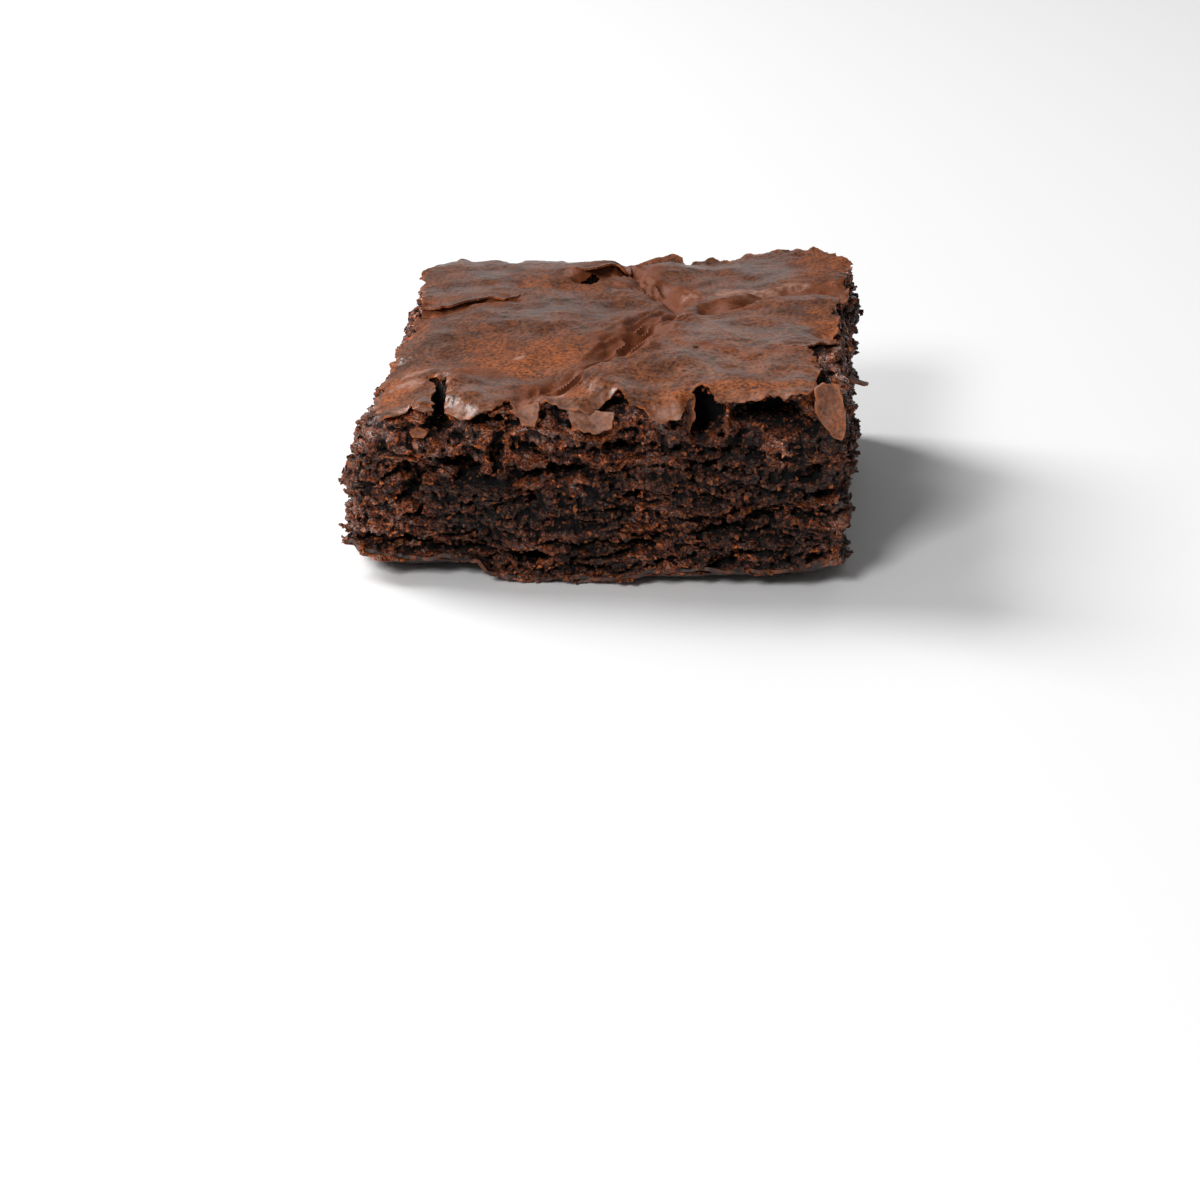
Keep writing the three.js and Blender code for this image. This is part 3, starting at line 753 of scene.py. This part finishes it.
def make_sheet(name, grid, inside, thickness, values):
    """A thin closed sheet over a grid of points, where inside is above zero, with its rim on that line."""
    grid = grid.copy()
    whole = inside > 0
    kept = whole[:-1, :-1] & whole[1:, :-1] & whole[1:, 1:] & whole[:-1, 1:]
    deepest = np.zeros_like(kept)
    deepest.flat[np.argmax(np.where(kept, inside[:-1, :-1], -FAR))] = True
    kept = reached_from(deepest, kept)
    corners = np.zeros(inside.shape, int)
    for a, b in itertools.product((0, 1), repeat=2):
        corners[a:a + kept.shape[0], b:b + kept.shape[1]] += kept
    rim = (corners > 0) & (corners < 4)
    slope = np.stack(np.gradient(inside), 0)
    steep = np.maximum((slope**2).sum(0), 1e-6)
    along_u, along_v = np.gradient(grid, axis=(0, 1))
    for n, direction in enumerate((along_u, along_v)):
        move = np.clip(-inside * slope[n] / steep, -0.9, 0.9)
        grid += (move * rim)[..., None] * direction
    normal = np.cross(along_u, along_v)
    normal /= np.linalg.norm(normal, axis=2, keepdims=True)
    number = np.full(inside.shape, -1)
    used = corners > 0
    number[used] = np.arange(used.sum())
    top = grid[used]
    under = top - (normal * np.asarray(thickness)[..., None])[used]
    i, j = np.nonzero(kept)
    a, b, c, d = number[i, j], number[i + 1, j], number[i + 1, j + 1], number[i, j + 1]
    lower = len(top)
    faces = [np.stack((a, b, c, d), 1), np.stack((d, c, b, a), 1) + lower]
    padded = np.pad(kept, 1)
    for di, dj, start, end in ((0, -1, a, b), (1, 0, b, c), (0, 1, c, d), (-1, 0, d, a)):
        open_side = ~padded[i + 1 + di, j + 1 + dj]
        start, end = start[open_side], end[open_side]
        faces.append(np.stack((start + lower, end + lower, end, start), 1))
    both = {key: np.tile(np.broadcast_to(value, used.shape)[used], 2) for key, value in values.items()}
    return make_mesh(name, np.concatenate((top, under)), np.concatenate(faces), both)


span = np.arange(-PLAN_REACH, PLAN_REACH, CRUST_STEP)
x, y = np.meshgrid(span, span, indexing="ij")
inside = from_crust_edge(x, y)
crack = np.full(x.shape, FAR)
for run, width in CRACKS:
    distance, _, from_end = near_run(run, x, y)
    crack = np.minimum(crack, distance - 0.62 * width * (0.5 + 0.5 * smooth(-0.5, 3, from_end)))
coarse_tear = 0.6 * ridges(x, y, 1.9, 81, 0.35)
fine_tear = (0.2 + 0.4 * smooth(0.5, 3, crack)) * ridges(x, y, 0.85, 80)
inside = np.minimum(inside, crack) + coarse_tear + fine_tear
z = crust_face(x, y) - 0.2 * smooth(2, 0, crack)
rim_zone = smooth(3, 0, inside)
z = z + rim_zone * (0.45 * plan_noise(x, y, 3, 84) + 0.5 * ridges(x, y, 1.5, 89))
grid = np.stack((x, y, z), 2)
valley = np.zeros(x.shape)
for run, _, _, _, _, width in FOLDS:
    distance, _, from_end = near_run(run, x, y)
    valley = np.maximum(valley, smooth(0, 4, from_end) * np.exp(-((distance / (1.9 * width)) ** 2)))
pale = np.zeros(x.shape)
for at_x, at_y, size in PALE_SHEEN_PATCHES:
    far = np.hypot((x - at_x) / size, (y - at_y) / (0.8 * size)) + 0.45 * plan_noise(x, y, 1.1, 85)
    pale = np.maximum(pale, smooth(1.15, 0.55, far))
# Where the crust bends down over the front it is paler: partly its own colour, partly painted sheen on the
# bend.
behind_rim = y + HALF - crust_inset("front", x)
for place, half_width, drop in DROOPS:
    bent = np.exp(-np.abs((x - place) / (0.9 * half_width)) ** 4) * min(1, drop / 2.2)
    bent = bent * smooth(DROOP_REACH, 1.6, behind_rim) * smooth(-0.3, 0.3, plan_noise(x, y, 1.6, 79))
    pale = np.maximum(pale, bent)
dull = 0.3 * smooth(0, 0.6, plan_noise(x, y, 7, 77))
for at_x, at_y, half_length, half_width in DULL_ZONES:
    far = np.hypot((x - at_x) / half_length, (y - at_y) / half_width)
    dull = np.maximum(dull, smooth(1.25, 0.45, far + 0.35 * plan_noise(x, y, 4, 76)))
dull = np.maximum(dull, np.maximum(0.8 * valley, 0.6 * pale))
torn = smooth(0.6, 0.1, inside) * smooth(-0.6, 0.2, plan_noise(x, y, 2.4, 78))
# Painted light and shade: the crust is made lighter towards the front right and darker towards the back left.
browned = smooth(-26, 4, y - 0.3 * x + 4 * plan_noise(x, y, 9, 75))
crust = make_sheet("crust", grid, inside, CRUST_SHEET * (0.4 + 0.6 * smooth(0, 1.5, inside)),
                   {"valley": valley, "pale": pale, "torn": torn, "dull": dull, "browned": browned})

crust_material, tree, shader = new_material("baked_crust")
dull = point_value(tree, "dull")
colour = blend_colour(tree, dull, (0.105, 0.035, 0.013), (0.165, 0.045, 0.0085))
colour = blend_colour(tree, spots(tree, 3.5, 4, 0.38, 0.62), colour, (1.8, 1.72, 1.62), "MULTIPLY")
# Painted light and shade: the crust colour is multiplied lighter at the front, darker at the back.
painted_front_light_back_shade = blend_colour(tree, point_value(tree, "browned"), (1.32, 1.32, 1.3), (0.95, 0.92, 0.9))
colour = blend_colour(tree, 1, colour, painted_front_light_back_shade, "MULTIPLY")
colour = blend_colour(tree, spots(tree, 0.55, 2, 0.42, 0.62), colour, (0.46, 0.38, 0.40), "MULTIPLY")
fleck = remap(tree, spots(tree, 0.5, 2, 0.58, 0.64), 0, 1, 0, 0.9)
colour = blend_colour(tree, fleck, colour, (0.025, 0.010, 0.007))
valley_share = remap(tree, point_value(tree, "valley"), 0.1, 0.8, 0, 0.8)
colour = blend_colour(tree, valley_share, colour, (0.15, 0.034, 0.006))
# Torn edges turn lighter orange: the edge's own colour, partly painted glow of light through the thin edge.
torn_colour_and_glow = product(tree, point_value(tree, "torn"), spots(tree, 1.1, 4, 0.42, 0.58))
colour = blend_colour(tree, torn_colour_and_glow, colour, (0.42, 0.10, 0.015))
# Pale skin: its own paler colour, with painted sheen where it is stretched thin.
pale_sheen_colour = blend_colour(tree, spots(tree, 0.9, 4, 0.4, 0.6), (0.38, 0.205, 0.15), (0.22, 0.085, 0.043))
pale_sheen_share = remap(tree, point_value(tree, "pale"), 0, 1, 0, 0.8)
colour = blend_colour(tree, pale_sheen_share, colour, pale_sheen_colour)
fill(tree, shader, {
    "Base Color": colour, "Roughness": remap(tree, dull, 0, 1, 0.31, 0.8), "Specular IOR Level": 0.42,
    "Normal": graining(tree, 0.7, 4, 0.7, 0.15)})
crust.data.materials.append(crust_material)
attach(crust, "root")
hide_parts("brownie")

# Lips of the crust
# Where the bake sank, one plate of the crust rode up over the next. Its broken edge stands over the
# valley and curls.
LIP_STEP = 0.26
LIP_OVERHANG = 0.6
LIP_SHEET = 0.3  # thickness
LIPPED_FOLDS = (0, 1, 5)


def lip_sheet(index, fold):
    """The free edge of one plate, along one fold."""
    run, high, lift, _, _, width = fold
    points = np.array(run, float)
    legs = np.linalg.norm(np.diff(points, axis=0), axis=1)
    walked = np.concatenate(([0], np.cumsum(legs)))
    s = np.arange(0.0, walked[-1], LIP_STEP)
    centre = np.stack([np.interp(s, walked, points[:, n]) for n in (0, 1)], 1)
    for _ in range(int(3 / LIP_STEP)):
        centre[1:-1] = (centre[:-2] + 2 * centre[1:-1] + centre[2:]) / 4
    ahead = np.gradient(centre, axis=0)
    ahead /= np.linalg.norm(ahead, axis=1, keepdims=True)
    to_low = high * np.stack((ahead[:, 1], -ahead[:, 0]), 1)
    centre = centre - sway(*centre.T).T
    t = np.arange(-3.4 * width, 2.2, LIP_STEP)
    s_grid, t_grid = np.meshgrid(s, t, indexing="ij")
    place = centre[:, None, :] + to_low[:, None, :] * t[None, :, None]
    x, y = place[..., 0], place[..., 1]
    back = centre - to_low * 1.5 * width
    plateau = np.broadcast_to(crust_face(back[:, 0], back[:, 1])[:, None], x.shape)
    raised = smooth(-2.8 * width, -1.3 * width, t_grid)
    curl = noise(s_grid / 5, 0, 0, 120 + index) + 0.4 * noise(s_grid / 1.6, 0, 0, 140 + index)
    curl = (0.25 + 0.45 * curl) * lift * smooth(-1.2, 1.2, t_grid)
    z = (1 - raised) * (crust_face(x, y) - 0.08) + raised * (plateau + curl)
    over = LIP_OVERHANG * (0.4 + 0.6 * lift) + 0.9 * noise(s_grid / 2.3, 0, 0, 160 + index)
    over = over + 0.4 * noise(s_grid / 0.8, 0, 0, 180 + index)
    from_end = np.minimum(s_grid, walked[-1] - s_grid)
    over = over - 2.6 * width * smooth(4.5, 0.5, from_end)
    inside = np.minimum(over - t_grid, t_grid + 3.2 * width)
    inside = np.minimum(inside, from_crust_edge(x, y))
    torn = smooth(0.45, 0.05, over - t_grid) * smooth(-0.5, 0.5, noise(s_grid / 2.4, 0, 0, 78))
    return np.stack((x, y, z), 2), inside, torn


for index in LIPPED_FOLDS:
    grid, inside, torn = lip_sheet(index, FOLDS[index])
    if FOLDS[index][1] > 0:
        grid, inside, torn = grid[::-1], inside[::-1], torn[::-1]
    lip = make_sheet(f"crust_lip_{index + 1}", grid, inside, LIP_SHEET, {
        "valley": 0, "pale": 0, "torn": torn, "dull": 0.3, "browned": 0.7})
    lip.data.materials.append(crust_material)
    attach(lip, "root")
    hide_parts("brownie")

# Clinging flakes
# Shards of crust that the knife broke off. The moist crumb holds them, and each bends as it dried.
FLAKE_STEP = 0.2
FLAKE_SHEET = 0.38  # thickness
# Place, turn in degrees, bend, paleness with painted sheen, and corners clockwise.
FLAKES = [
    ((31.8, -33.9, 26.4), (92, -7, 6), 0.5, 0.3,
     [(-1.7, 3.9), (-0.4, 4.4), (1.5, 3.8), (2, 0.5), (1.8, -2.6), (1.2, -4.3), (-0.3, -3), (-1.9, 0.3)]),
    ((-8.9, -34.6, 25), (58, -18, 0), 0.5, 0.5,
     [(-1.9, 1.4), (1.8, 1.6), (1.2, -0.4), (0.4, -1.7), (-1.3, -1)]),
    ((-0.6, -34.2, 24.3), (52, 4, 0), 0.7, 0.8,
     [(-3.2, 1), (-0.6, 1.7), (3.1, 1.5), (2.9, -0.7), (0.8, -1.6), (-2.3, -1.3)]),
    ((4.6, 33, 28.2), (60, 4, 0), -0.6, 0,
     [(-4.2, -1.5), (-2.9, 0.9), (-1.2, 1.5), (1.6, 1), (2.9, 1.5), (3.8, -1.5)]),
    ((35.2, -6, 22), (8, 24, 30), 0.4, 0,
     [(-2, 1.2), (0.4, 1.4), (2.3, 0.1), (0.6, -1.3), (-1.8, -1)]),
    ((12.6, -31.2, 24.8), (84, 8, 24), 0.2, 0,
     [(-0.7, 2.6), (0.5, 2.8), (0.9, -0.6), (0.3, -2.8), (-0.6, -1.4)]),
    ((-24.4, -33.8, 21.8), (40, 14, 8), 0.3, 0.4,
     [(-1.2, 0.1), (-0.3, 0.8), (1.3, 0.5), (0.9, -0.6), (-0.5, -0.7)]),
]


def flake_sheet(index, place, turn, bend, paleness_and_sheen, corners):
    """A thin broken flake with crisp corners."""
    corners = np.array(corners, float)
    reach = np.abs(corners).max(0) + 2 * FLAKE_STEP
    u, v = np.meshgrid(*(np.arange(-r, r, FLAKE_STEP) for r in reach), indexing="ij")
    inside = np.full(u.shape, FAR)
    for (ax, ay), (bx, by) in zip(corners, np.roll(corners, -1, axis=0)):
        behind = ((u - ax) * (by - ay) - (v - ay) * (bx - ax)) / math.hypot(bx - ax, by - ay)
        inside = np.minimum(inside, behind)
    inside = inside + 0.14 * noise(u / 0.7, v / 0.7, float(index), 32)
    w = bend * ((u / reach[0]) ** 2 + 0.5 * (v / reach[1]) ** 2)
    w = w + 0.16 * noise(u / 1.1, v / 1.1, float(index), 33)
    matrix = np.array(Euler([math.radians(angle) for angle in turn]).to_matrix())
    grid = np.stack((u, v, w), 2) @ matrix.T + np.array(place)
    torn = smooth(0.35, 0.05, inside)
    pale = paleness_and_sheen * (0.5 + 0.5 * smooth(-0.3, 0.5, noise(u / 1.3, v / 0.9, float(index), 34)))
    return make_sheet(f"flake_{index + 1}", grid, inside, FLAKE_SHEET, {
        "valley": 0, "pale": pale, "torn": torn, "dull": 0.6, "browned": 0.5})


for index, flake in enumerate(FLAKES):
    piece = flake_sheet(index, *flake)
    piece.data.materials.append(crust_material)
    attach(piece, "root")
    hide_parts("brownie")

# The base skin
# The firm underside that baked against the tin. It is thinner than the crust, stands out a little
# past the crumb, and curls up at the front.
SKIN_STEP = 0.5
SKIN_SHEET = 0.5  # thickness
span = np.arange(-PLAN_REACH, PLAN_REACH, SKIN_STEP)
x, y = np.meshgrid(span, span, indexing="ij")
inside = np.full(x.shape, FAR)
low = base_height(x, y)
for side in SIDE_SEED:
    place, across, sign = side_axes(side, x, y)
    inset = crumb_inset(side, place, low + 0.4, 0.4) + 0.1 + corner_round(place)
    inside = np.minimum(inside, HALF - sign * across - inset)
inside = inside + 0.5 * plan_noise(x, y, 1.2, 90) + 0.7 * plan_noise(x, y, 4, 91)
curl = smooth(3, 0, inside) * (0.45 + 0.45 * plan_noise(x, y, 2.6, 92))
grid = np.stack((x, y, low + SKIN_SHEET + curl + 0.1 + 0.1 * plan_noise(x, y, 1, 93)), 2)
skin = make_sheet("base_skin", grid, inside, SKIN_SHEET, {"torn": smooth(0.8, 0.1, inside)})
skin_material, tree, shader = new_material("tin_baked_skin")
colour = blend_colour(tree, spots(tree, 3, 5, 0.35, 0.65), (0.014, 0.007, 0.005), (0.045, 0.016, 0.009))
frayed = product(tree, spots(tree, 1.5, 3, 0.45, 0.6), point_value(tree, "torn"))
colour = blend_colour(tree, frayed, colour, (0.17, 0.045, 0.014))
fill(tree, shader, {"Base Color": colour, "Roughness": 0.55, "Normal": graining(tree, 0.6, 4, 0.6, 0.2)})
skin.data.materials.append(skin_material)
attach(skin, "root")

# Loose grains
# Grains of crumb that the knife pulled up and that cling to the broken sides. Dry ones are lighter.
GRAIN_SIZE = (0.12, 0.46)  # smallest and largest half width
GRAINS_PER_MM2 = 1


def rough_lump(name, levels, flatness):
    """A small uneven lump, up to one and a half millimetres in half width."""
    shape = bmesh.new()
    bmesh.ops.create_icosphere(shape, subdivisions=levels, radius=1)
    for n, vertex in enumerate(shape.verts):
        vertex.co *= (0.35 + 1.1 * float(cell_value(n, levels, 0, 200)[0])) * MM
        vertex.co.z *= flatness
    mesh = bpy.data.meshes.new(name)
    shape.to_mesh(mesh)
    shape.free()
    return bpy.data.objects.new(name, mesh)


def clinging_tree():
    """Scatters a shape over the bare faces of a mesh, each with its own size, turn and shade."""
    tree, given, result = new_group("GeometryNodeTree", "clinging_bits", {
        "Surface": "Geometry", "Shape": "Object", "Finish": "Material", "Density": "Float",
        "Smallest": "Float", "Largest": "Float", "Most Sheltered": "Float", "Seed": "Int",
    }, {"Bits": "Geometry"})

    def compare(operation, name, level):
        value = add_node(tree, "GeometryNodeInputNamedAttribute", {"Name": name}, data_type="FLOAT")
        ends = {"A": value["Attribute"], "B": level}
        return add_node(tree, "FunctionNodeCompare", ends, data_type="FLOAT", operation=operation)["Result"]

    def random_value(kind, low, high, seed):
        ends = {"Min": low, "Max": high, "Seed": seed}
        return add_node(tree, "FunctionNodeRandomValue", ends, data_type=kind)["Value"]

    bare = compare("GREATER_THAN", "bare", 0.5)
    open_to_air = compare("LESS_THAN", "tip", given["Most Sheltered"])
    chosen = add_node(tree, "FunctionNodeBooleanMath", {0: bare, 1: open_to_air}, operation="AND")["Boolean"]
    points = add_node(tree, "GeometryNodeDistributePointsOnFaces", {
        "Mesh": given["Surface"], "Selection": chosen, "Density": given["Density"], "Seed": given["Seed"]})
    shape = add_node(tree, "GeometryNodeObjectInfo", {"Object": given["Shape"]})
    # Small ones are the most common.
    often = {0: random_value("FLOAT", 0, 1, 2), 1: 2.2}
    size = add_node(tree, "ShaderNodeMapRange", {
        "Value": add_node(tree, "ShaderNodeMath", often, operation="POWER")["Value"],
        "To Min": given["Smallest"], "To Max": given["Largest"]})
    uneven = {0: random_value("FLOAT_VECTOR", (0.7,) * 3, (1.3,) * 3, 3), "Scale": size["Result"]}
    bits = add_node(tree, "GeometryNodeInstanceOnPoints", {
        "Points": points["Points"], "Instance": shape["Geometry"],
        "Rotation": random_value("FLOAT_VECTOR", (0,) * 3, (2 * math.pi,) * 3, 1),
        "Scale": add_node(tree, "ShaderNodeVectorMath", uneven, operation="SCALE")["Vector"]})["Instances"]
    shade = {"Geometry": bits, "Name": "shade", "Value": random_value("FLOAT", 0, 1, 4)}
    shaded = add_node(tree, "GeometryNodeStoreNamedAttribute", shade, data_type="FLOAT", domain="INSTANCE")
    bits = add_node(tree, "GeometryNodeRealizeInstances", {"Geometry": shaded["Geometry"]})["Geometry"]
    finish = {"Geometry": bits, "Material": given["Finish"]}
    tree.links.new(add_node(tree, "GeometryNodeSetMaterial", finish)["Geometry"], result["Bits"])
    return tree


def cling(name, surface, tree, values):
    """Runs the tree over one piece and keeps the result as a plain mesh."""
    carrier = add_object("carrier", surface.data)
    modifier = carrier.modifiers.new("bits", "NODES")
    modifier.node_group = tree
    for socket in tree.interface.items_tree:
        if socket.in_out == "INPUT" and socket.name in values:
            modifier[socket.identifier] = values[socket.name]
    bpy.context.view_layer.update()
    mesh = bpy.data.meshes.new_from_object(carrier.evaluated_get(bpy.context.evaluated_depsgraph_get()))
    mesh.name = name
    carrier.modifiers.remove(modifier)
    bpy.data.objects.remove(carrier)
    return add_object(name, mesh)


grain_material, tree, shader = new_material("dry_grain")
shade = point_value(tree, "shade")
grain_colour = colour_ramp(tree, shade, [
    (0, (0.014, 0.007, 0.006)),
    (0.5, (0.045, 0.016, 0.010)),
    (0.85, (0.11, 0.034, 0.015)),
    (1, (0.26, 0.07, 0.02)),
])
fill(tree, shader, {
    "Base Color": grain_colour, "Roughness": remap(tree, shade, 0, 0.7, 0.3, 0.8), "Specular IOR Level": 0.35,
    "Normal": graining(tree, 0.2, 2, 0.8, 0.15)})

grain_shape = rough_lump("grain_shape", 1, 0.8)
bits_tree = clinging_tree()
for index, surface in enumerate(crumb_pieces[:-1]):
    piece = cling(surface.name.replace("crumb", "grains"), surface, bits_tree, {
        "Shape": grain_shape, "Finish": grain_material, "Density": GRAINS_PER_MM2 / MM**2,
        "Smallest": GRAIN_SIZE[0], "Largest": GRAIN_SIZE[1], "Most Sheltered": 0.6, "Seed": 11 + index})
    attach(piece, "root")
bpy.data.objects.remove(grain_shape)

# The floor, the light and the camera
# A plain pale floor under soft studio light, seen from the height of someone seated at the table.
FLOOR_SIZE = 4
floor_mesh = bpy.data.meshes.new("floor")
floor_corners = [(x * FLOOR_SIZE, y * FLOOR_SIZE, 0) for x, y in ((-1, -1), (1, -1), (1, 1), (-1, 1))]
floor_mesh.from_pydata(floor_corners, [], [(0, 1, 2, 3)])
floor = add_object("floor", floor_mesh)
floor_material, tree, shader = new_material("pale_floor")
fill(tree, shader, {"Base Color": (0.96, 0.96, 0.96, 1), "Roughness": 0.7})
floor_mesh.materials.append(floor_material)

world = bpy.data.worlds.new("studio")
bpy.context.scene.world = world
world.use_nodes = True
fill(world.node_tree, world.node_tree.nodes["Background"], {"Color": (1, 1, 1, 1), "Strength": 0.16})
bpy.context.scene.view_settings.view_transform = "Standard"


AIM = Vector((0, 0, 0.015))


def area_light(name, place, size, power):
    data = bpy.data.lights.new(name, "AREA")
    data.size = size
    data.energy = power
    light = add_object(name, data)
    light.location = place
    light.rotation_euler = (AIM - Vector(place)).to_track_quat("-Z", "Y").to_euler()


area_light("key", (-0.75, 0.3, 0.7), 0.5, 11)
area_light("fill", (-0.4, -0.9, 0.7), 0.3, 8.5)
area_light("back", (0.1, 2, 0.8), 1.6, 4.5)

camera = add_object("camera", bpy.data.cameras.new("camera"))
camera.data.lens = 88.5
camera.data.sensor_width = 36
camera.location = (32.99 * MM, -411.87 * MM, 155.3 * MM)
camera.rotation_euler = Euler((math.radians(67.5), 0, math.radians(5)))
camera.data.clip_end = 50
bpy.context.scene.camera = camera
